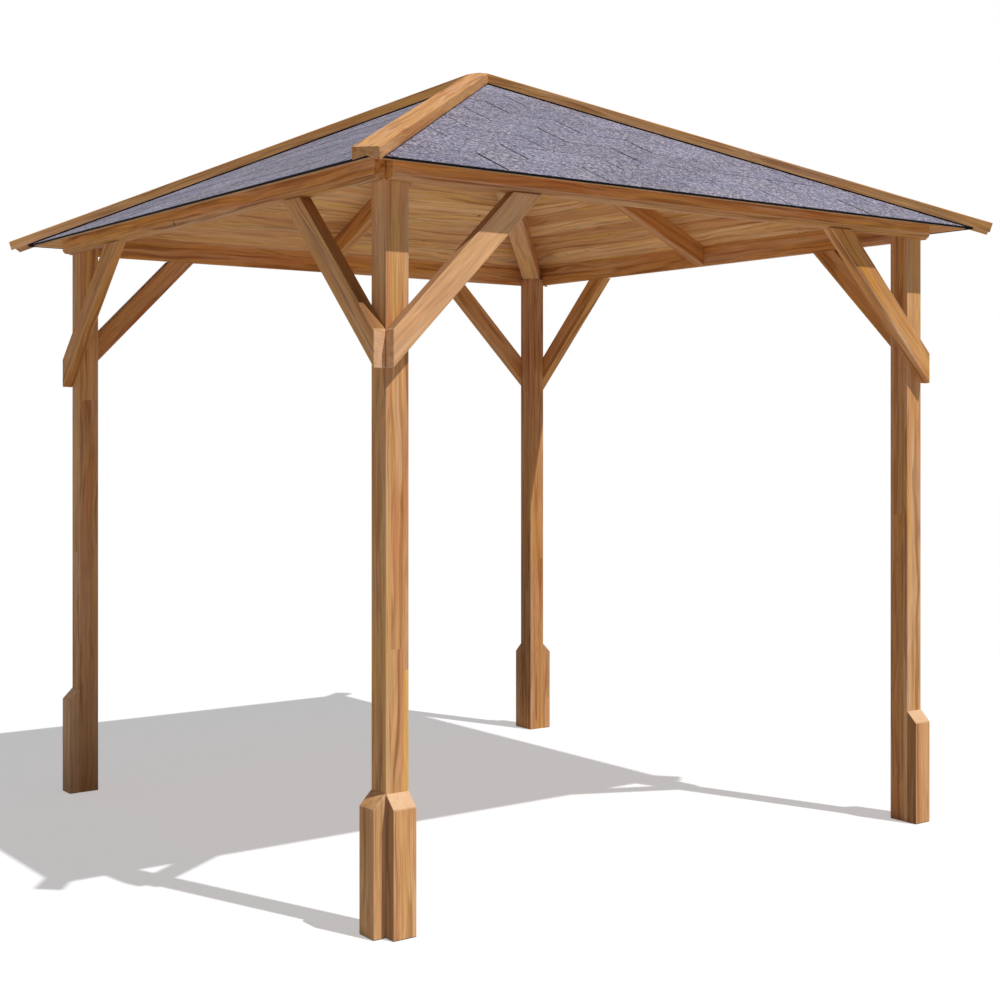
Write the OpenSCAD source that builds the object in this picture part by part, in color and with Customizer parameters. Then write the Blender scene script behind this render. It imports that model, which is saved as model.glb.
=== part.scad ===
// Square timber garden gazebo with a hipped roof of boards and bitumen shingles.
// Four posts carry a rim of beams on their outer faces, braced at every corner.
// +Z is up. The origin is on the ground, at the middle of the square of posts.
// Front is -Y, back +Y, left -X and right +X. Sizes are in millimetres.

/* [Frame] */
// Distance between the outer faces of two posts
frame_span = 2700; // [2000:10:4000]
// Width of a square post
post_w = 90; // [70:1:140]
// Height of the underside of the rim beams
beam_z = 2475; // [1900:5:2800]
// Thickness of the beams, braces and foot blocks on the posts' outer faces
board_t = 47; // [30:1:60]
// Radius of the rounded lower outer edge of a beam
beam_round = 20; // [2:1:25]

/* [Feet and braces] */
// Height of a foot block at its outer face
foot_h = 425; // [150:5:600]
// Width of a brace, across its length
brace_w = 90; // [60:1:120]
// Length of a brace's lower edge, measured along the beam or the post
brace_reach = 615; // [350:5:800]

/* [Roof] */
// Pitch of the four roof slopes, in degrees
pitch = 24.8; // [15:0.1:35]
// Depth of the rafters, square to their length
rafter_d = 90; // [70:1:140]
// Width of the common rafter in the middle of each slope
rafter_w = 47; // [35:1:70]
// Width of the four hip rafters
hip_w = 90; // [60:1:120]
// Gap between the tail of a hip rafter and the rim beams
tail_gap = 2; // [1:0.5:10]
// Thickness of the roof boards
deck_t = 12; // [9:1:25]
// How far the roof boards reach past the posts
deck_overhang = 128; // [80:1:250]
// Thickness of the layer of shingles
felt_t = 6; // [3:0.5:10]
// How far the shingles reach past the posts
felt_overhang = 152; // [100:1:280]

/* [Hip caps] */
// Width of a hip cap
cap_w = 90; // [70:1:140]
// Thickness of a hip cap at its long edges
cap_t = 47; // [28:1:70]
// Bevel along the two upper edges of a hip cap
cap_bevel = 3; // [1:1:8]
// How far the hip caps reach past the posts, measured along each side
cap_overhang = 198; // [120:1:320]

/* [Hidden] */

half = frame_span / 2;

// A hip climbs less steeply than the slopes, because it runs across the corner
hip_pitch = atan(tan(pitch) / sqrt(2));
// How far a slope falls across the hip, for each millimetre away from the hip line
hip_fall = tan(hip_pitch) * cos(hip_pitch);

// The soffit is the underside of the roof boards. It meets the beams' inner faces at
// soffit_z, where a common rafter's plumb end is exactly as tall as the beam.
soffit_z = beam_z + rafter_d / cos(pitch);
soffit_apex = soffit_z + half * tan(pitch);

// A hip rafter has a flat top, so its two upper edges touch the soffit
hip_top_apex = soffit_apex - hip_w / 2 * tan(hip_pitch);
hip_depth = rafter_d / cos(hip_pitch);
post_inner = (half - post_w) * sqrt(2);
// The posts stop where the underside of the hip rafters reaches their inner corner
post_h = hip_top_apex - hip_depth - post_inner * tan(hip_pitch);

// The line where the top faces of two layers of shingles meet, over the centre
felt_apex = soffit_apex + (deck_t + felt_t) / cos(pitch);
cap_length = (half + cap_overhang) * sqrt(2) / cos(hip_pitch);

round_steps = 6;
brace_cut = brace_w * sqrt(2);

beam_color = "#9a6c45";
post_color = "#b9875a";
deck_color = "#a8794c";
felt_color = "#85848f";

// Turns a piece made for the front side, or the front left corner, to the n-th one
module turned(n) {
    rotate([0, 0, 90 * n]) children();
}

// Stands a profile drawn in X and Z upright and gives it its thickness along +Y
module upright(thickness) {
    translate([0, thickness, 0])
        rotate([90, 0, 0])
            linear_extrude(height = thickness) children();
}

// The quarter of the plan between two hips, or between two sides, as a tall prism
module quarter(points) {
    reach = frame_span * 2;
    linear_extrude(height = felt_apex * 2)
        polygon([for (p = points) p * reach]);
}

module post(n) {
    color(post_color)
        turned(n)
            translate([-half, -half, 0]) cube([post_w, post_w, post_h]);
}

// Foot block: top bevelled at 45 degrees, so that it rises to the post's face
module foot(n, right_end) {
    color(post_color)
        turned(n)
            translate([right_end ? half - post_w : -half, -half, 0])
                rotate([90, 0, 90])
                    linear_extrude(height = post_w)
                        polygon([[-board_t, 0], [0, 0], [0, foot_h + board_t],
                                 [-board_t, foot_h]]);
}

// Brace: plumb cut at the post's outer corner, level cut under the beam
module brace(n, right_end) {
    color(beam_color)
        turned(n)
            mirror([right_end ? 1 : 0, 0, 0])
                translate([-half, -half - board_t, beam_z])
                    upright(board_t)
                        polygon([[0, -brace_reach], [brace_reach, 0],
                                 [brace_reach - brace_cut, 0], [0, brace_cut - brace_reach]]);
}

// Rim beam: rounded below and outside, bevelled on top to the pitch of the roof
module beam(n) {
    outer_h = soffit_z - beam_z - board_t * tan(pitch);
    rounded = [for (k = [0 : round_steps])
                  let (a = 90 * k / round_steps)
                  [-board_t + beam_round * (1 - sin(a)), beam_round * (1 - cos(a))]];
    color(beam_color)
        turned(n)
            translate([-half, -half, beam_z])
                rotate([90, 0, 90])
                    linear_extrude(height = frame_span)
                        polygon(concat([[0, 0]], rounded,
                                       [[-board_t, outer_h], [0, soffit_z - beam_z]]));
}

// Hip rafter: level seat on the post, plumb tail in the corner of the beams, and
// two faces at the top that meet the next hip rafters
module hip_rafter(n) {
    tail = half * sqrt(2) - hip_w / 2 - tail_gap;
    color(beam_color)
        turned(n)
            intersection() {
                rotate([0, 0, 225])
                    translate([0, -hip_w / 2, 0])
                        upright(hip_w)
                            polygon([[0, hip_top_apex],
                                     [0, hip_top_apex - hip_depth],
                                     [post_inner, post_h],
                                     [tail, post_h],
                                     [tail, hip_top_apex - tail * tan(hip_pitch)]]);
                quarter([[0, 0], [-1, 0], [-1, -1], [0, -1]]);
            }
}

// Common rafter: plumb end against the beam, pointed end between two hip rafters
module rafter(n) {
    nose = hip_w / sqrt(2);
    color(beam_color)
        turned(n)
            intersection() {
                rotate([0, 0, -90])
                    translate([0, -rafter_w / 2, 0])
                        upright(rafter_w)
                            polygon([[0, soffit_apex],
                                     [0, soffit_apex - rafter_d / cos(pitch)],
                                     [half, beam_z],
                                     [half, soffit_z]]);
                translate([0, -nose, 0]) quarter([[0, 0], [-1, -1], [1, -1]]);
            }
}

// One slope of a roof layer, square cut at the eaves and mitred along both hips.
// lift is how far the layer's underside is above the soffit, square to the slope.
module slope_layer(n, lift, thickness, overhang) {
    length = (half + overhang) / cos(pitch);
    turned(n)
        intersection() {
            translate([0, 0, soffit_apex + lift / cos(pitch)])
                rotate([pitch, 0, 0])
                    translate([-frame_span, -length, 0])
                        cube([2 * frame_span, length + thickness * tan(pitch), thickness]);
            quarter([[0, 0], [-1, -1], [1, -1]]);
        }
}

module deck(n) {
    color(deck_color) slope_layer(n, 0, deck_t, deck_overhang);
}

module shingles(n) {
    color(felt_color) slope_layer(n, deck_t, felt_t, felt_overhang);
}

// Hip cap: notched underneath to sit astride the hip, with its lower end cut square
module hip_cap(n) {
    edge = cap_w / 2;
    notch = edge * sin(pitch) / sqrt(2) / sqrt(1 - pow(sin(pitch), 2) / 2);
    top = cap_t - notch;
    color(post_color)
        turned(n)
            intersection() {
                translate([0, 0, felt_apex])
                    rotate([0, 0, 225])
                        rotate([0, hip_pitch, 0])
                            translate([-cap_length, 0, 0])
                                rotate([90, 0, 90])
                                    linear_extrude(height = cap_length * 2)
                                        polygon([[0, 0], [edge, -notch],
                                                 [edge, top - cap_bevel],
                                                 [edge - cap_bevel, top],
                                                 [cap_bevel - edge, top],
                                                 [-edge, top - cap_bevel],
                                                 [-edge, -notch]]);
                quarter([[0, 0], [-1, 0], [-1, -1], [0, -1]]);
            }
}

post(0);  // post_front_left
post(1);  // post_front_right
post(2);  // post_back_right
post(3);  // post_back_left

foot(0, false);  // foot_front_left
foot(0, true);  // foot_front_right
foot(1, false);  // foot_right_front
foot(1, true);  // foot_right_back
foot(2, false);  // foot_back_right
foot(2, true);  // foot_back_left
foot(3, false);  // foot_left_back
foot(3, true);  // foot_left_front

brace(0, false);  // brace_front_left
brace(0, true);  // brace_front_right
brace(1, false);  // brace_right_front
brace(1, true);  // brace_right_back
brace(2, false);  // brace_back_right
brace(2, true);  // brace_back_left
brace(3, false);  // brace_left_back
brace(3, true);  // brace_left_front

beam(0);  // beam_front
beam(1);  // beam_right
beam(2);  // beam_back
beam(3);  // beam_left

hip_rafter(0);  // hip_rafter_front_left
hip_rafter(1);  // hip_rafter_front_right
hip_rafter(2);  // hip_rafter_back_right
hip_rafter(3);  // hip_rafter_back_left

rafter(0);  // rafter_front
rafter(1);  // rafter_right
rafter(2);  // rafter_back
rafter(3);  // rafter_left

deck(0);  // deck_front
deck(1);  // deck_right
deck(2);  // deck_back
deck(3);  // deck_left

shingles(0);  // shingles_front
shingles(1);  // shingles_right
shingles(2);  // shingles_back
shingles(3);  // shingles_left

hip_cap(0);  // hip_cap_front_left
hip_cap(1);  // hip_cap_front_right
hip_cap(2);  // hip_cap_back_right
hip_cap(3);  // hip_cap_back_left
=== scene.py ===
import random
from math import atan, cos, pi, radians, sin, tan

import bmesh
import bpy
from mathutils import Matrix, Vector


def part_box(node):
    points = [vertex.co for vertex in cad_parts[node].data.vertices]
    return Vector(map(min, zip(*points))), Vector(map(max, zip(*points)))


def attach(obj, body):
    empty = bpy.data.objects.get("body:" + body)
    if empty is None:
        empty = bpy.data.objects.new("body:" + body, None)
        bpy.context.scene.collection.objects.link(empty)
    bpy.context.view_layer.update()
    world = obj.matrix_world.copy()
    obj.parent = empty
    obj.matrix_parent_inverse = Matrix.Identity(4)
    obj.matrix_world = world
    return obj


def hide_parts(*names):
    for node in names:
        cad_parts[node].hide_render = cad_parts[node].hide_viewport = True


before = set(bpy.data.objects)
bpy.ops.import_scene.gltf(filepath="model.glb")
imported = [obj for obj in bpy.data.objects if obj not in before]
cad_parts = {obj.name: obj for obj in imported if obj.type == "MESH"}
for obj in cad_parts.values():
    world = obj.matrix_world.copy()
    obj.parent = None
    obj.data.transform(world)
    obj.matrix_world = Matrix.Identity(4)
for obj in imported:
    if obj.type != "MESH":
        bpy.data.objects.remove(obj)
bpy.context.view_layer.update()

# ---------------------------------------------------------------------------
# Posts
# Four posts, 90 mm square, of laminated pine: three strips glued side by side,
# each made up of shorter lengths, planed, stained golden brown and treated.
# The hip rafters and the foot blocks are screwed to them.
# ---------------------------------------------------------------------------

CORNERS = ("front_left", "front_right", "back_right", "back_left")
STRIP_EDGES = (-0.025, 0.024)    # the two glue lines, from the middle of the post
STRIP_PITCH = 0.03               # from one strip's middle to the next, on average
# The height of the finger joint in each strip, or None where one length runs through
FINGER_JOINTS = {"front_left": (None, 0.94, 0.87), "front_right": (None, 1.30, 1.75),
                 "back_right": (0.95, 1.55, None), "back_left": (None, 1.10, 1.80)}
ARRIS = 0.003                    # how far a planed edge is eased
WEAR_AND_HIGHLIGHT, SAWN_END = 0.35, -0.1      # an eased arris is paler than its board, worn and with a painted highlight; a sawn end darker


def linear(code):
    """A hex sRGB colour in linear light, with its alpha."""
    parts = [int(code[i:i + 2], 16) / 255 for i in (1, 3, 5)]
    return [p / 12.92 if p <= 0.04045 else ((p + 0.055) / 1.055) ** 2.4 for p in parts] + [1]


def add(tree, kind, feeds=(), ramp=(), **settings):
    """A new node. feeds gives inputs a value, or the first output of a node, or an output.
    On a Mix node input 0 is the share, 2 and 3 are numbers, and 6, 7 and output 2 colours."""
    made = tree.nodes.new("ShaderNode" + kind)
    for key, value in settings.items():
        setattr(made, key, value)
    for socket, value in dict(feeds).items():
        if isinstance(value, bpy.types.Node):
            value = value.outputs[0]
        if isinstance(value, bpy.types.NodeSocket):
            tree.links.new(value, made.inputs[socket])
        else:
            made.inputs[socket].default_value = value
    for k, (at, code) in enumerate(ramp):
        stops = made.color_ramp.elements
        stop = stops[k] if k < 2 else stops.new(at)
        stop.position, stop.color = at, linear(code)
    return made


def stained_pine(name, early, late, stain, gold, rust, pale,
                 ring=0.009, wander=(0.085, 0.085), streak=0.7):
    """Planed pine, stained and pressure treated: growth rings seen as long bands, dark
    streaks where the stain soaked in, golden, reddish and pale patches, and small knots.
    Rings are 3 mm apart in the real timber and are drawn wider so that they show."""
    material = bpy.data.materials.new(name)
    material.use_nodes = True
    tree = material.node_tree
    tree.nodes.clear()
    place = add(tree, "Attribute", attribute_name="board").outputs["Vector"]
    tone = add(tree, "Attribute", attribute_name="tone").outputs["Fac"]
    arris = add(tree, "Attribute", attribute_name="arris").outputs["Fac"]

    # Knots are 10 to 25 mm across and about half a metre apart
    cell = (2.4, 9.0, 9.0)
    cells = add(tree, "VectorMath", {0: place, 1: cell}, operation="MULTIPLY")
    branch = add(tree, "TexVoronoi", {"Vector": cells, "Scale": 1.0})
    branch_at = add(tree, "VectorMath", {0: branch.outputs["Position"], 1: cell},
                    operation="DIVIDE")
    gap = add(tree, "VectorMath", {0: place, 1: branch_at}, operation="DISTANCE").outputs["Value"]
    luck = add(tree, "SeparateColor", {0: branch.outputs["Color"]})
    size = add(tree, "MapRange", {"Value": luck, "From Min": 0.5, "From Max": 1.0,
                                  "To Min": 0.0, "To Max": 0.013})
    core = add(tree, "Math", {0: size, 1: 0.5}, operation="MULTIPLY")
    knot = add(tree, "MapRange", {"Value": gap, "From Min": size, "From Max": core,
                                  "To Min": 0.0, "To Max": 0.85}, interpolation_type="SMOOTHSTEP")
    near = add(tree, "MapRange", {"Value": gap, "From Min": 0.06, "From Max": 0.0,
                                  "To Min": 0.0, "To Max": 1.8}, interpolation_type="SMOOTHERSTEP")
    push = add(tree, "Math", {0: near, 1: size}, operation="MULTIPLY")

    # Growth rings round the pith, which wanders to and fro along the trunk
    slow = add(tree, "VectorMath", {0: place, 1: (1.3, 6.0, 6.0)}, operation="MULTIPLY")
    bend = add(tree, "TexNoise", {"Vector": slow, "Scale": 1.0, "Detail": 2.0, "Roughness": 0.5})
    bend = add(tree, "VectorMath", {0: bend.outputs["Color"], 1: (0.5, 0.5, 0.5)},
               operation="SUBTRACT")
    bend = add(tree, "VectorMath", {0: bend, 1: (0.0, *wander)}, operation="MULTIPLY")
    flow = add(tree, "VectorMath", {0: place, 1: bend}, operation="ADD")
    radius = add(tree, "VectorMath", {0: flow, 1: (0.0, 1.0, 1.0)}, operation="MULTIPLY")
    radius = add(tree, "VectorMath", {0: radius}, operation="LENGTH").outputs["Value"]
    radius = add(tree, "Math", {0: radius, 1: push}, operation="ADD")
    years = add(tree, "Math", {0: radius, 1: ring}, operation="DIVIDE")
    year = add(tree, "Math", {0: years}, operation="FRACT")
    latewood = add(tree, "ValToRGB", {0: year}, ramp=(
        (0.0, "#505050"), (1.0, "#505050"),
        (0.14, "#000000"), (0.55, "#303030"), (0.88, "#ffffff")))

    # Bundles of fibres 7 mm wide, drawn coarser than real ones so that they show, and
    # streaks of stain 18 mm wide and up to three quarters of a metre long
    fine = add(tree, "VectorMath", {0: flow, 1: (3.0, 150.0, 150.0)}, operation="MULTIPLY")
    fibre = add(tree, "TexNoise", {"Vector": fine, "Scale": 1.0, "Detail": 3.0, "Roughness": 0.6})
    long = add(tree, "VectorMath", {0: flow, 1: (1.3, 55.0, 55.0)}, operation="MULTIPLY")
    soak = add(tree, "TexNoise", {"Vector": long, "Scale": 1.0, "Detail": 2.0, "Roughness": 0.5})
    soaked = add(tree, "MapRange", {"Value": soak, "From Min": 0.46, "From Max": 0.72,
                                    "To Min": 0.0, "To Max": streak},
                 interpolation_type="SMOOTHSTEP")
    # Patches of colour about 45 mm wide and up to 0.8 m long
    wide = add(tree, "VectorMath", {0: flow, 1: (1.2, 22.0, 22.0)}, operation="MULTIPLY")
    patch = add(tree, "TexNoise", {"Vector": wide, "Scale": 1.0, "Detail": 3.0, "Roughness": 0.55})
    patch = add(tree, "SeparateColor", {0: patch.outputs["Color"]})

    # Rings show on the long faces, and are too fine to see where a board is cut across
    long_face = add(tree, "MapRange", {"Value": arris, "From Min": -0.1, "To Max": 0.62})
    band = add(tree, "Math", {0: latewood, 1: long_face}, operation="MULTIPLY")
    wood = add(tree, "Mix", {0: band, 6: linear(early), 7: linear(late)}, data_type="RGBA")
    for channel, hue, most in ((0, gold, 0.75), (1, rust, 0.65), (2, pale, 0.6)):
        share = add(tree, "MapRange", {"Value": patch.outputs[channel], "From Min": 0.48,
                                       "From Max": 0.68, "To Min": 0.0, "To Max": most})
        wood = add(tree, "Mix", {0: share, 6: wood.outputs[2], 7: linear(hue)}, data_type="RGBA")
    wood = add(tree, "Mix", {0: soaked, 6: wood.outputs[2], 7: linear(stain)}, data_type="RGBA")
    # Some boards drink more stain and turn redder, some less, and some come out golden
    for start, end, most, hue, how in ((0.5, 0.0, 1.0, "#f1dfd0", "MULTIPLY"),
                                       (0.65, 1.0, 0.5, pale, "MIX"),
                                       (1.0, 2.0, 0.85, gold, "MIX")):
        share = add(tree, "MapRange", {"Value": tone, "From Min": start, "From Max": end,
                                       "To Min": 0.0, "To Max": most})
        wood = add(tree, "Mix", {0: share, 6: wood.outputs[2], 7: linear(hue)},
                   data_type="RGBA", blend_type=how)
    fibrous = add(tree, "MapRange", {"Value": fibre, "From Min": 0.25, "From Max": 0.75,
                                     "To Min": 0.76, "To Max": 1.22})
    toned = add(tree, "MapRange", {"Value": tone, "To Min": 0.89, "To Max": 1.11})
    level = add(tree, "Math", {0: fibrous, 1: toned}, operation="MULTIPLY")
    wood = add(tree, "VectorMath", {0: wood.outputs[2], "Scale": level}, operation="SCALE")
    wood = add(tree, "Mix", {0: knot, 6: wood, 7: linear("#5b3419")}, data_type="RGBA")
    # The arris layer paints a face paler above 0, for worn edges, sawn cuts and painted
    # highlights, and darker below 0, for dark joints, sawn ends and painted shade
    wood = add(tree, "Mix", {0: arris, 6: wood.outputs[2], 7: linear("#e6c09a")}, data_type="RGBA")
    groove_and_shade = add(tree, "Math", {0: arris, 1: -1.0}, operation="MULTIPLY")
    wood = add(tree, "Mix", {0: groove_and_shade, 6: wood.outputs[2], 7: linear("#4a2e18")},
               data_type="RGBA")

    gloss = add(tree, "MapRange", {"Value": fibre, "To Min": 0.80, "To Max": 0.62})
    relief = add(tree, "Math", {0: fibre, 1: latewood}, operation="ADD")
    relief = add(tree, "Math", {0: relief, 1: knot}, operation="SUBTRACT")
    bump = add(tree, "Bump", {"Strength": 0.5, "Distance": 0.0008, "Height": relief})
    shader = add(tree, "BsdfPrincipled", {"Base Color": wood.outputs[2], "Roughness": gloss,
                                          "Normal": bump, "IOR": 1.5, "Specular IOR Level": 0.2})
    add(tree, "OutputMaterial", {0: shader})
    return material


def timber_copy(node):
    """The CAD timber as a bmesh of whole flat faces, ready to be worked."""
    bm = bmesh.new()
    bm.from_mesh(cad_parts[node].data)
    bmesh.ops.remove_doubles(bm, verts=bm.verts, dist=0.00001)
    bmesh.ops.dissolve_limit(bm, angle_limit=radians(1), verts=bm.verts, edges=bm.edges)
    return bm


def ease(bm, by=ARRIS, above=20):
    """Takes the edges off that are sharper than this angle. Gives back the new faces."""
    sharp = [e for e in bm.edges if e.is_manifold and e.calc_face_angle() > radians(above)]
    made = bmesh.ops.bevel(bm, geom=sharp, offset=by, offset_type="OFFSET", affect="EDGES",
                           segments=2, profile=0.5, material=-1, clamp_overlap=True)
    return set(made["faces"])


def grain(bm, seed, along, eased=(), board_at=None, tones=(0.3, 0.7), known=()):
    """Tells each face corner where it lies in its own board, measured from the pith of
    the tree, with x along the grain. Gives each board a tone between the two in tones, or
    a known one: 0 dark, 1 pale, 2 golden. The arris layer says how much paler or, below
    0, darker than its board a face is. board_at gives the board at a spot: its number
    and its middle."""
    place = bm.loops.layers.float_vector.new("board")
    tone = bm.loops.layers.float.new("tone")
    arris = bm.loops.layers.float.new("arris")
    along = along.normalized()
    across = Vector((0, 0, 1)).cross(along)
    across = across.normalized() if across.length > 0.1 else Vector((1, 0, 0))
    to_board = Matrix((along, across, along.cross(across)))
    corners = [v.co for v in bm.verts]
    middle = sum(corners, Vector()) / len(corners)
    for face in bm.faces:
        inside = face.calc_center_median() - face.normal * 0.001
        number, centre = board_at(inside) if board_at else (0, middle)
        board = random.Random(f"{seed} {number}")
        pith = Vector((board.uniform(0, 20), board.uniform(-0.05, 0.05),
                       board.uniform(0.03, 0.10)))
        level = dict(known).get(number, board.uniform(*tones))
        end = SAWN_END if abs(face.normal.dot(along)) > 0.85 else 0.0
        for corner in face.loops:
            corner[place] = to_board @ (corner.vert.co - centre) + pith
            corner[tone] = level
            corner[arris] = WEAR_AND_HIGHLIGHT if face in eased else end


def finished(bm, name, node, slot, *materials):
    """The worked piece takes the place of its CAD node."""
    mesh = bpy.data.meshes.new(name)
    bm.to_mesh(mesh)
    bm.free()
    for material in materials:
        mesh.materials.append(material)
    mesh.shade_smooth()
    mesh.set_sharp_from_angle(angle=radians(18))
    piece = bpy.data.objects.new(name, mesh)
    bpy.context.scene.collection.objects.link(piece)
    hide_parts(node)
    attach(piece, "root")


def turned(n, *direction):
    """A direction given for the front side or the front left corner, turned to the n-th."""
    return Matrix.Rotation(pi / 2 * n, 3, "Z") @ Vector(direction)


post_pine = stained_pine("stained_laminated_pine", "#dba66c", "#b67a43", "#975729",
                         "#e2aa52", "#c97e4e", "#e4b68e")
POST_TONES = {"front_left": (0.4, 0.65), "front_right": (0.1, 0.3),
              "back_right": (0.0, 0.3), "back_left": (0.3, 0.5)}
# Lengths of a tone of their own, by strip and by whether they are above the finger joint
KNOWN_LENGTHS = {"front_left": {(2, False): 1.8}, "front_right": {(0, True): 0.5}}

for n, corner in enumerate(CORNERS):
    bm = timber_copy(f"post_{corner}")
    low, high = (Vector(c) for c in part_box(f"post_{corner}"))
    axis = (low + high) / 2
    across = turned(n, 1, 0, 0)
    for edge in STRIP_EDGES:
        bmesh.ops.bisect_plane(bm, geom=bm.verts[:] + bm.edges[:] + bm.faces[:], dist=0.00001,
                               plane_co=axis + across * edge, plane_no=across)
    for height in filter(None, FINGER_JOINTS[corner]):
        bmesh.ops.bisect_plane(bm, geom=bm.verts[:] + bm.edges[:] + bm.faces[:], dist=0.00001,
                               plane_co=(0, 0, height), plane_no=(0, 0, 1))

    def strip_at(spot):
        strip = sum((spot - axis).dot(across) > edge for edge in STRIP_EDGES)
        length = spot.z > (FINGER_JOINTS[corner][strip] or 0)
        return (strip, length), axis + across * (strip - 1) * STRIP_PITCH

    eased = ease(bm)
    grain(bm, f"post {corner}", Vector((0, 0, 1)), eased, strip_at, POST_TONES[corner],
          KNOWN_LENGTHS.get(corner, ()))
    finished(bm, f"laminated_post_{corner}", f"post_{corner}", "post_timber", post_pine)

# ---------------------------------------------------------------------------
# Foot blocks
# Eight short blocks of the same stained pine, 47 mm thick, screwed to the foot of
# each outer face of a post. Their tops are sawn at 45 degrees to shed the rain.
# ---------------------------------------------------------------------------

SIDES = ("front", "right", "back", "left")
foot_pine = stained_pine("stained_sawn_pine", "#deac74", "#bc8450", "#a06434",
                         "#e6b058", "#d08c5a", "#e8bc94")
FOOT_TONES = {("front", "left"): 0.55, ("front", "right"): 0.25, ("right", "front"): 0.0,
              ("right", "back"): 0.15, ("back", "right"): 0.25, ("left", "back"): 1.0}
CONTACT_SHADE_TO = 0.006                  # painted shade: the lowest edges are darkened up to here, where the blocks meet the ground


def paint_wear_and_light(bm, share_of):
    """Makes faces paler or, below 0, darker, for wear and for painted highlights and painted
    shade. share_of gives a face's share, or None.
    """
    arris = bm.loops.layers.float["arris"]
    for face in bm.faces:
        share = share_of(face)
        if share is not None:
            for corner in face.loops:
                corner[arris] = share


for n, side in enumerate(SIDES):
    for neighbour in (SIDES[n - 1], SIDES[(n + 1) % 4]):
        bm = timber_copy(f"foot_{side}_{neighbour}")
        eased = ease(bm)
        known = {0: FOOT_TONES.get((side, neighbour), 0.45)}
        grain(bm, f"foot {side} {neighbour}", Vector((0, 0, 1)), eased, known=known)

        def foot_share(face):
            # Painted shade along the ground
            if face.calc_center_median().z < CONTACT_SHADE_TO:
                return -0.9
            if 0.6 < face.normal.z < 0.8:              # the sloping top
                return 0.75 if side == "front" else 0.1
            # Painted shade: the ends of the front blocks, in the corners against the side blocks,
            # are darker
            if side == "front" and abs(face.normal.x) > 0.9:
                return -0.45
            return None

        paint_wear_and_light(bm, foot_share)
        finished(bm, f"foot_block_{side}_{neighbour}", f"foot_{side}_{neighbour}",
                 "post_timber", foot_pine)

# ---------------------------------------------------------------------------
# Rim beams
# Four 47 mm boards on the outer faces of the posts, of the same pine. The lower
# outer edge is rounded over and the top is planed to the pitch of the roof.
# ---------------------------------------------------------------------------

frame_pine = stained_pine("stained_framing_pine", "#d89a56", "#ae6d30", "#8c4c1c",
                          "#da9d40", "#c4743a", "#e2b88e")

for n, side in enumerate(SIDES):
    bm = timber_copy(f"beam_{side}")
    eased = ease(bm, 0.002)
    bm.normal_update()
    # The start of the rounding is painted paler: a painted highlight for the thin pale line where
    # it catches the light
    outward = turned(n, 0, -1, 0)
    rounding = {face for face in bm.faces if 0.94 < face.normal.dot(outward) < 0.998
                and face.normal.z < -0.05}
    grain(bm, f"beam {side}", turned(n, 1, 0, 0), eased | rounding, tones=(0.5, 0.8))
    # The rest of the rounding and the underside are painted a little darker: painted shade
    paint_wear_and_light(bm, lambda face: -0.2 if face.normal.z < -0.34 else None)
    finished(bm, f"rim_beam_{side}", f"beam_{side}", "frame_timber", frame_pine)

# ---------------------------------------------------------------------------
# Braces
# Eight 90 x 47 mm knee braces at 45 degrees, in the plane of the beams, plumb cut
# on the post and level cut under the beam.
# ---------------------------------------------------------------------------

BRACE_TONES = {("front", "left"): 1.0, ("front", "right"): 0.6, ("left", "front"): 0.75}

for n, side in enumerate(SIDES):
    for lean, neighbour in ((1, SIDES[n - 1]), (-1, SIDES[(n + 1) % 4])):
        bm = timber_copy(f"brace_{side}_{neighbour}")
        eased = ease(bm)
        outward, along = turned(n, 0, -1, 0), turned(n, lean, 0, 1).normalized()
        known = {0: BRACE_TONES.get((side, neighbour), 0.4)}
        grain(bm, f"brace {side} {neighbour}", along, eased, known=known)

        def brace_share(face):
            end_on = abs(face.normal.dot(along))
            if face.normal.z > 0.5 and end_on < 0.1:   # the upper edge: painted shade, darker
                return -0.45
            if (side in ("left", "right") and end_on > 0.6     # the plumb and level cuts: paler as sawn wood, and in part a painted highlight, given only to the side braces so the shaded cuts stay dark
                    and abs(face.normal.dot(outward)) < 0.1):
                return 0.6
            return None

        paint_wear_and_light(bm, brace_share)
        finished(bm, f"knee_brace_{side}_{neighbour}", f"brace_{side}_{neighbour}",
                 "frame_timber", frame_pine)

# ---------------------------------------------------------------------------
# Hip rafters and common rafters
# The 90 mm square hip rafters run from the posts to the apex, and a 90 x 47 mm
# rafter runs up the middle of each slope. They are planed and stained like the beams.
# ---------------------------------------------------------------------------

PITCH = radians(24.8)

for n, corner in enumerate(CORNERS):
    bm = timber_copy(f"hip_rafter_{corner}")
    known = {0: 0.8 if corner == "back_right" else 0.4}
    grain(bm, f"hip rafter {corner}", turned(n, -1, -1, -tan(PITCH)), ease(bm), known=known)
    finished(bm, f"stained_hip_rafter_{corner}", f"hip_rafter_{corner}",
             "frame_timber", frame_pine)

for n, side in enumerate(SIDES):
    bm = timber_copy(f"rafter_{side}")
    grain(bm, f"rafter {side}", turned(n, 0, -1, -tan(PITCH)), ease(bm), known={0: 0.3})
    finished(bm, f"stained_rafter_{side}", f"rafter_{side}", "frame_timber", frame_pine)

# ---------------------------------------------------------------------------
# Roof boards
# Planed softwood boards, 12 mm thick with 88 mm of cover, nailed level across the
# rafters. Their lower edges are chamfered, so every joint shows as a V from below.
# ---------------------------------------------------------------------------

DECK = 0.012                     # thickness of the boards
COVER = 0.088                    # how much of each board shows
CHAMFER = 0.0015
BEYOND = 0.1                     # boards and strips start longer, and the mitres cut them
board_pine = stained_pine("stained_roof_boards", "#ecb674", "#bc7c40", "#945224",
                          "#eeb854", "#ce8048", "#ecc092",
                          ring=0.013, wander=(0.15, 0.035), streak=0.6)


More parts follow.
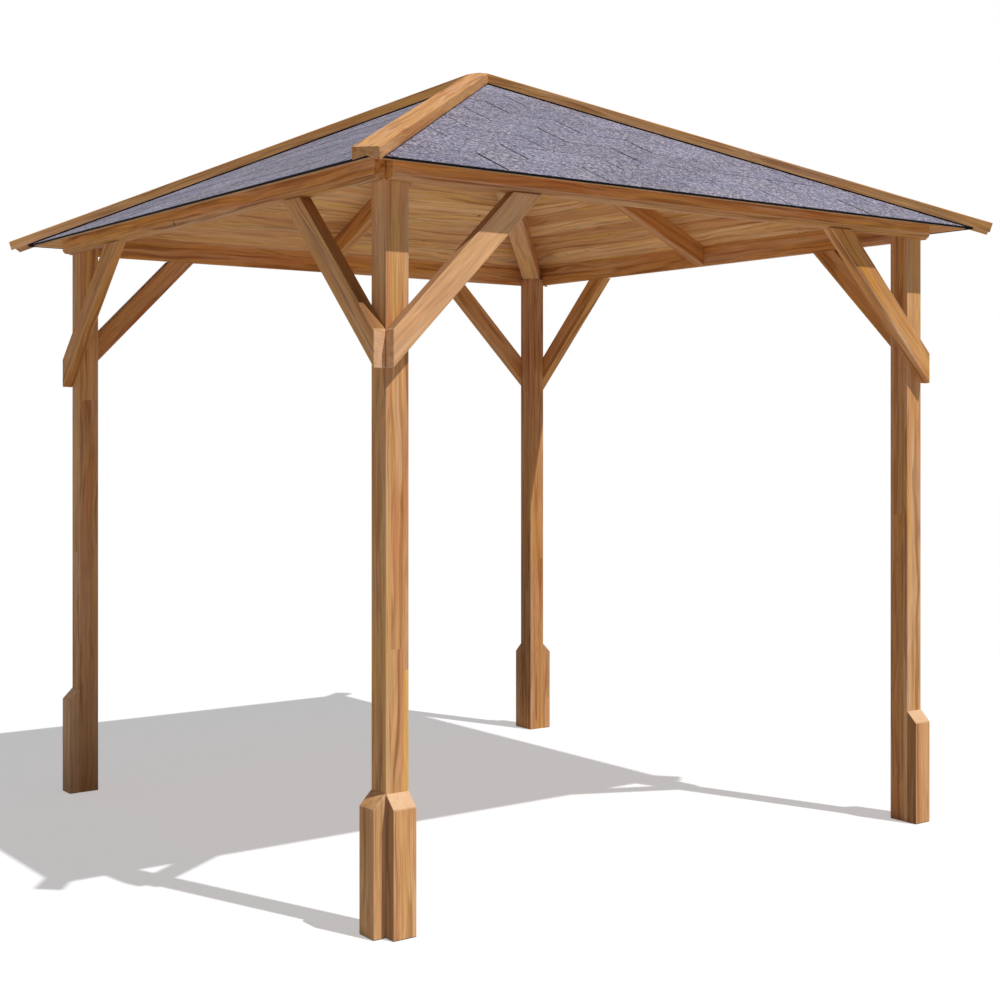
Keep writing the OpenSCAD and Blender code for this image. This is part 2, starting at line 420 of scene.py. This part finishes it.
def box_between(bm, low, high, tilt=0.0):
    """A board as a box between two corners, tilted about its lower front edge."""
    low, high = Vector(low), Vector(high)
    shape = Matrix.Translation((low + high) / 2) @ Matrix.Diagonal((high - low).to_4d())
    if tilt:
        hinge = Vector(((low.x + high.x) / 2, low.y, low.z))
        shape = (Matrix.Translation(hinge) @ Matrix.Rotation(tilt, 4, "X")
                 @ Matrix.Translation(-hinge) @ shape)
    return bmesh.ops.create_cube(bm, size=1, matrix=shape)["verts"]


def mitre(bm):
    """Cuts a front slope along both hips and closes the cuts."""
    for side in (1, -1):
        bmesh.ops.bisect_plane(bm, geom=bm.verts[:] + bm.edges[:] + bm.faces[:], dist=0.000001,
                               plane_co=(0, 0, 0), plane_no=(side, 1, 0), clear_outer=True)
        bmesh.ops.holes_fill(bm, edges=[e for e in bm.edges if e.is_boundary], sides=0)
    bmesh.ops.recalc_face_normals(bm, faces=bm.faces)


deck_low, deck_high = (Vector(c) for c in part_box("deck_front"))
deck_slope = (Matrix.Translation((0, 0, deck_high.z - DECK / cos(PITCH)))
              @ Matrix.Rotation(PITCH, 4, "X"))
deck_run = (-deck_low.y - DECK * sin(PITCH)) / cos(PITCH)

for n, side in enumerate(SIDES):
    bm = bmesh.new()
    courses = int(deck_run / COVER) + 1
    for k in range(courses):
        foot = -deck_run + k * COVER
        reach = deck_run + BEYOND
        top = min(foot + COVER, DECK * tan(PITCH))
        board = box_between(bm, (-reach, foot, 0), (reach, top, DECK))
        under = {v for v in board if v.co.z < DECK / 2}
        edges = [e for e in bm.edges if set(e.verts) <= under
                 and abs(e.verts[0].co.y - e.verts[1].co.y) < 0.001]
        if k == 0:      # the lowest board stays square at the eaves
            edges = [e for e in edges if e.verts[0].co.y > foot + 0.001]
        bmesh.ops.bevel(bm, geom=edges, offset=CHAMFER, affect="EDGES", segments=1,
                        profile=0.5, material=-1)
    bmesh.ops.transform(bm, matrix=deck_slope, verts=bm.verts)
    mitre(bm)
    to_slope = deck_slope.inverted()

    def board_at(spot):
        k = int(((to_slope @ spot).y + deck_run) / COVER)
        return k, deck_slope @ Vector((0, -deck_run + (k + 0.5) * COVER, DECK / 2))

    tones = (0.3, 1.1) if side == "back" else (0.0, 0.8)
    grain(bm, f"boards {side}", Vector((1, 0, 0)), (), board_at, tones)
    bm.normal_update()

    def board_share(face):
        aim = to_slope.to_3x3() @ face.normal
        if abs(aim.y) > 0.3 and aim.z < -0.3:          # the chamfers at the joints
            return -0.15
        if aim.y < -0.9 and (to_slope @ face.calc_center_median()).y < 0.001 - deck_run:
            return 0.2                                 # the edge at the eaves: a painted highlight
        return None

    paint_wear_and_light(bm, board_share)
    bmesh.ops.rotate(bm, matrix=Matrix.Rotation(pi / 2 * n, 3, "Z"), verts=bm.verts)
    finished(bm, f"roof_boards_{side}", f"deck_{side}", "roof_boards", board_pine)

# ---------------------------------------------------------------------------
# Shingles
# Bitumen felt faced with grey mineral granules, cut into tabs and nailed over black
# underlay in overlapping courses, each half a tab along. A black edging hangs over the
# eaves, and black strips run up the hips below the caps.
# ---------------------------------------------------------------------------

TAB = 0.454                      # width of a tab with its slot
SLOT = 0.0065
TABS = 10                        # tabs in a course before the hips cut it
FIRST_TAB = -TABS / 2 * TAB - 0.0525
EXPOSED = 0.197                  # how much of each course shows
LAP = 0.02                       # how far a tab runs up below the next course
TAB_T = 0.0009                   # how far a tab stands above the course below
UNDERLAY = 0.0008
FELT = 0.006                     # thickness of the whole covering


def mineral_felt():
    """Bitumen felt with a grey slate facing: dull, gritty and speckled light and dark.
    The granules are 1 to 2 mm across, and are drawn as clumps of 8 mm and grit of 3 mm
    so that they show. Some patches, about 0.2 m wide, are bluer than the rest."""
    material = bpy.data.materials.new("mineral_faced_felt")
    material.use_nodes = True
    tree = material.node_tree
    tree.nodes.clear()
    place = add(tree, "TexCoord").outputs["Object"]
    tone = add(tree, "Attribute", attribute_name="tone").outputs["Fac"]
    clumps = add(tree, "TexVoronoi", {"Vector": place, "Scale": 1 / 0.008})
    grit = add(tree, "TexVoronoi", {"Vector": place, "Scale": 1 / 0.003})
    clump = add(tree, "SeparateColor", {0: clumps.outputs["Color"]})
    grain_tone = add(tree, "SeparateColor", {0: grit.outputs["Color"]})
    mixed = add(tree, "Mix", {0: 0.35, 2: clump, 3: grain_tone}, data_type="FLOAT")
    slate = add(tree, "ValToRGB", {0: mixed}, ramp=(
        (0.0, "#262630"), (1.0, "#e2dce4"),
        (0.22, "#575561"), (0.5, "#837d89"), (0.75, "#a69faa")))
    tint = add(tree, "TexNoise", {"Vector": place, "Scale": 5.0, "Detail": 3.0})
    tinted = add(tree, "MapRange", {"Value": tint, "From Min": 0.35, "From Max": 0.65,
                                    "To Min": 0.0, "To Max": 0.2})
    colour = add(tree, "Mix", {0: tinted, 6: slate, 7: linear("#7f84ac")}, data_type="RGBA")
    toned = add(tree, "MapRange", {"Value": tone, "To Min": 0.88, "To Max": 1.10})
    colour = add(tree, "VectorMath", {0: colour.outputs[2], "Scale": toned}, operation="SCALE")
    bump = add(tree, "Bump", {"Strength": 0.6, "Distance": 0.0015, "Height": mixed})
    shader = add(tree, "BsdfPrincipled", {"Base Color": colour, "Roughness": 0.95, "Normal": bump,
                                          "IOR": 1.5, "Specular IOR Level": 0.3})
    add(tree, "OutputMaterial", {0: shader})
    return material


def bare_bitumen():
    """The cut edges and the underlay: black, slightly rough and with a faint sheen, under
    dust in patches 17 mm wide. In the slots and beside the caps its black also stands in
    for shade: painted shade."""
    material = bpy.data.materials.new("black_bitumen")
    material.use_nodes = True
    tree = material.node_tree
    tree.nodes.clear()
    place = add(tree, "TexCoord").outputs["Object"]
    dust = add(tree, "TexNoise", {"Vector": place, "Scale": 60.0, "Detail": 4.0})
    colour = add(tree, "ValToRGB", {0: dust}, ramp=((0.3, "#060607"), (0.8, "#141416")))
    gloss = add(tree, "MapRange", {"Value": dust, "To Min": 0.95, "To Max": 0.8})
    bump = add(tree, "Bump", {"Strength": 0.4, "Distance": 0.0005, "Height": dust})
    shader = add(tree, "BsdfPrincipled", {"Base Color": colour, "Roughness": gloss, "Normal": bump,
                                          "IOR": 1.5, "Specular IOR Level": 0.15})
    add(tree, "OutputMaterial", {0: shader})
    return material


felt_facing, bitumen = mineral_felt(), bare_bitumen()
felt_low, felt_high = (Vector(c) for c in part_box("shingles_front"))
felt_slope = (Matrix.Translation((0, 0, felt_high.z - FELT / cos(PITCH)))
              @ Matrix.Rotation(PITCH, 4, "X"))
felt_run = (-felt_low.y - FELT * sin(PITCH)) / cos(PITCH)
EDGING = 0.004                   # thickness of the eaves edging
EDGING_DROP = 0.0025             # how far it hangs below the shingles
EDGING_TUCK = 0.0002             # how far its top stays below their faces
FIRST_COURSE = EDGING - 0.0005   # the first course starts on the edging
# The strips show beside each cap as a dark line: felt, and in part painted shade in the gap under
# the cap's edge
HIP_STRIP = 0.003                # thickness of the strips along the hips
HIP_STRIP_W = 0.034              # their width on each side of the hip
HIP_STRIP_REACH = 3              # longer than any hip: the eaves and the mitres cut them

for n, side in enumerate(SIDES):
    bm = bmesh.new()
    reach = felt_run + BEYOND
    top = FELT * tan(PITCH)
    # The black underlay shows through the slots above the short lap of the course below: painted
    # shade for the shade in the slots
    box_between(bm, (-reach, -felt_run, 0), (reach, top, UNDERLAY))
    box_between(bm, (-reach, -felt_run, -EDGING_DROP),
                (reach, -felt_run + EDGING, FELT - EDGING_TUCK))
    for hand in (1, -1):
        lean = Matrix.Rotation(hand * atan(1 / cos(PITCH)), 4, "Z")
        strip = box_between(bm, (-HIP_STRIP_REACH, -HIP_STRIP_W, FELT - 0.001),
                            (HIP_STRIP_REACH, HIP_STRIP_W, FELT + HIP_STRIP))
        bmesh.ops.transform(bm, matrix=lean, verts=strip)
        whole = strip + list({e for v in strip for e in v.link_edges})
        whole += list({f for v in strip for f in v.link_faces})
        cut = bmesh.ops.bisect_plane(bm, geom=whole, dist=0.000001, clear_outer=True,
                                     plane_co=(0, -felt_run, 0), plane_no=(0, -1, 0))
        rim = [e for e in cut["geom_cut"] if isinstance(e, bmesh.types.BMEdge)]
        bmesh.ops.holes_fill(bm, edges=rim, sides=0)
    lay = random.Random(f"shingles {side}")
    for course in range(int(felt_run / EXPOSED) + 1):
        butt = -felt_run + FIRST_COURSE + course * EXPOSED
        head = min(butt + EXPOSED + LAP, top)
        start = FIRST_TAB + (TAB / 2 if course % 2 else 0.0)
        for k in range(TABS):       # laid by hand: a little out of line, some a hair proud
            left = start + k * TAB + lay.uniform(-0.003, 0.003)
            lift = lay.choice((0.0, 0.0, 0.0002, 0.0004))
            low = FELT - TAB_T - lift
            box_between(bm, (left + SLOT / 2, butt + lay.uniform(0, 0.002), low),
                        (left + TAB - SLOT / 2, head, low + TAB_T), -atan(TAB_T / EXPOSED))
    bmesh.ops.transform(bm, matrix=felt_slope, verts=bm.verts)
    mitre(bm)
    to_slope = felt_slope.inverted()
    tone = bm.loops.layers.float.new("tone")
    for face in bm.faces:
        spot = to_slope @ (face.calc_center_median() - face.normal * 0.0005)
        course = int((spot.y + felt_run - FIRST_COURSE) / EXPOSED)
        start = FIRST_TAB + (TAB / 2 if course % 2 else 0.0)
        tab = random.Random(f"tab {side} {course} {int((spot.x - start) / TAB)}")
        aim = to_slope.to_3x3() @ face.normal
        coated = aim.z > 0.9 or (aim.y < -0.9 and spot.y > EDGING - felt_run)
        face.material_index = 0 if coated and UNDERLAY < spot.z < FELT else 1
        shade = tab.random()
        for corner in face.loops:
            corner[tone] = shade
    bmesh.ops.rotate(bm, matrix=Matrix.Rotation(pi / 2 * n, 3, "Z"), verts=bm.verts)
    finished(bm, f"mineral_shingles_{side}", f"shingles_{side}", "shingle_felt",
             felt_facing, bitumen)

# ---------------------------------------------------------------------------
# Hip caps
# Planed pine, 90 mm wide with a shallow V cut along the underside, nailed over the
# hips on their black strips. The four meet in mitres at the apex.
# ---------------------------------------------------------------------------

CLEAR_EDGE, CLEAR_MIDDLE = 0.0055, 0.0045    # how far a cap stays above the shingles
V_WITHIN = 0.02                  # the bottom of the V is this near the level of the edges
FOOT_WITHIN = 0.06               # corners this near the lower end belong to the foot
cap_pine = stained_pine("stained_cap_pine", "#d4a066", "#b07442", "#9a5e30",
                        "#dca452", "#c47c42", "#e0ae86")
CAP_TONES = {"front_left": 0.35, "front_right": 0.5}

for n, corner in enumerate(CORNERS):
    bm = timber_copy(f"hip_cap_{corner}")
    down = turned(n, -1, -1, -tan(PITCH)).normalized()
    square = turned(n, 1, 1, -2 / tan(PITCH)).normalized() * -1
    # The underside is lifted: its two long edges, and the bottom of the V between them
    far = max(v.co.dot(down) for v in bm.verts)
    depth = {v: v.co.dot(square) for v in bm.verts}
    edge_depth = min(depth.values())
    for v in bm.verts:
        off = abs(v.co.dot(turned(n, 1, -1, 0).normalized()))
        if depth[v] - edge_depth < 0.001:
            rise = CLEAR_EDGE
        elif off < 0.001 and depth[v] - edge_depth < V_WITHIN:
            rise = CLEAR_MIDDLE
        else:
            continue
        # The foot is square to the cap, and the mitres at the apex are plumb
        at_foot = far - v.co.dot(down) < FOOT_WITHIN
        v.co += square * rise if at_foot else Vector((0, 0, rise / square.z))
    known = {0: CAP_TONES.get(corner, 0.45)}
    # Edges of less than 50 degrees, such as the bottom of the V, aren't eased
    grain(bm, f"hip cap {corner}", down, ease(bm, 0.0015, 50), known=known)
    finished(bm, f"stained_hip_cap_{corner}", f"hip_cap_{corner}", "cap_timber", cap_pine)

# ---------------------------------------------------------------------------
# Ground, light and camera
# A plain pale floor that keeps the gazebo's shadow, one lamp high in front and a
# plain sky, seen from the height of a person's eyes off the front left corner.
# ---------------------------------------------------------------------------


def seen_directly(tree):
    """1 where the camera sees it itself or in a glossy or clear surface, otherwise 0."""
    rays = add(tree, "LightPath").outputs
    seen = add(tree, "Math", {0: rays["Is Camera Ray"], 1: rays["Is Glossy Ray"]},
               operation="MAXIMUM")
    return add(tree, "Math", {0: seen, 1: rays["Is Transmission Ray"]}, operation="MAXIMUM")


floor_material = bpy.data.materials.new("pale_floor")
floor_material.use_nodes = True
tree = floor_material.node_tree
tree.nodes.clear()
direct = seen_directly(tree)
# Where it is seen the floor glows a little, so that it is white and keeps the shadow
bounce = add(tree, "BsdfDiffuse", {"Color": linear("#cacbd0")})
seen = add(tree, "BsdfDiffuse", {"Color": linear("#c9c9c9")})
glow = add(tree, "Emission", {"Color": linear("#ffffff"), "Strength": 0.433})
seen = add(tree, "AddShader", {0: seen, 1: glow})
shown = add(tree, "MixShader", {0: direct, 1: bounce, 2: seen})
add(tree, "OutputMaterial", {0: shown})

bm = bmesh.new()
bmesh.ops.create_circle(bm, cap_ends=True, segments=96, radius=40)
bmesh.ops.translate(bm, vec=(0, 0, -0.0005), verts=bm.verts)    # just clear of the posts
mesh = bpy.data.meshes.new("floor")
bm.to_mesh(mesh)
bm.free()
mesh.materials.append(floor_material)
floor = bpy.data.objects.new("floor", mesh)
bpy.context.scene.collection.objects.link(floor)

world = bpy.data.worlds.new("plain_sky")
world.use_nodes = True
tree = world.node_tree
tree.nodes.clear()
direct = seen_directly(tree)
fill = add(tree, "Background", {"Color": linear("#f0f3ff"), "Strength": 0.1456})
white = add(tree, "Background", {"Color": linear("#ffffff"), "Strength": 1.0})
shown = add(tree, "MixShader", {0: direct, 1: fill, 2: white})
add(tree, "OutputWorld", {0: shown})
bpy.context.scene.world = world

# The light comes from high in front, a little from the right
sun = bpy.data.lights.new("key", "SUN")
sun.energy = pi                  # a plain level: a colour comes out about as it is written
sun.angle = radians(0.6)
lamp = bpy.data.objects.new("key", sun)
lamp.rotation_euler = Vector((-0.345, 1.0, -1.8)).to_track_quat("-Z", "Y").to_euler()
bpy.context.scene.collection.objects.link(lamp)

# A level eye with the picture shifted, so that the posts stay upright
view = bpy.data.cameras.new("eye")
view.lens = 57.278
view.sensor_width = 36
view.shift_x = 0.00552
view.shift_y = -0.0674
view.clip_end = 200
camera = bpy.data.objects.new("eye", view)
camera.location = (-4.1414, -5.7413, 1.6508)
camera.rotation_euler = (pi / 2, 0, radians(53.6506 - 90))
bpy.context.scene.collection.objects.link(camera)
bpy.context.scene.camera = camera
bpy.context.scene.view_settings.view_transform = "Standard"
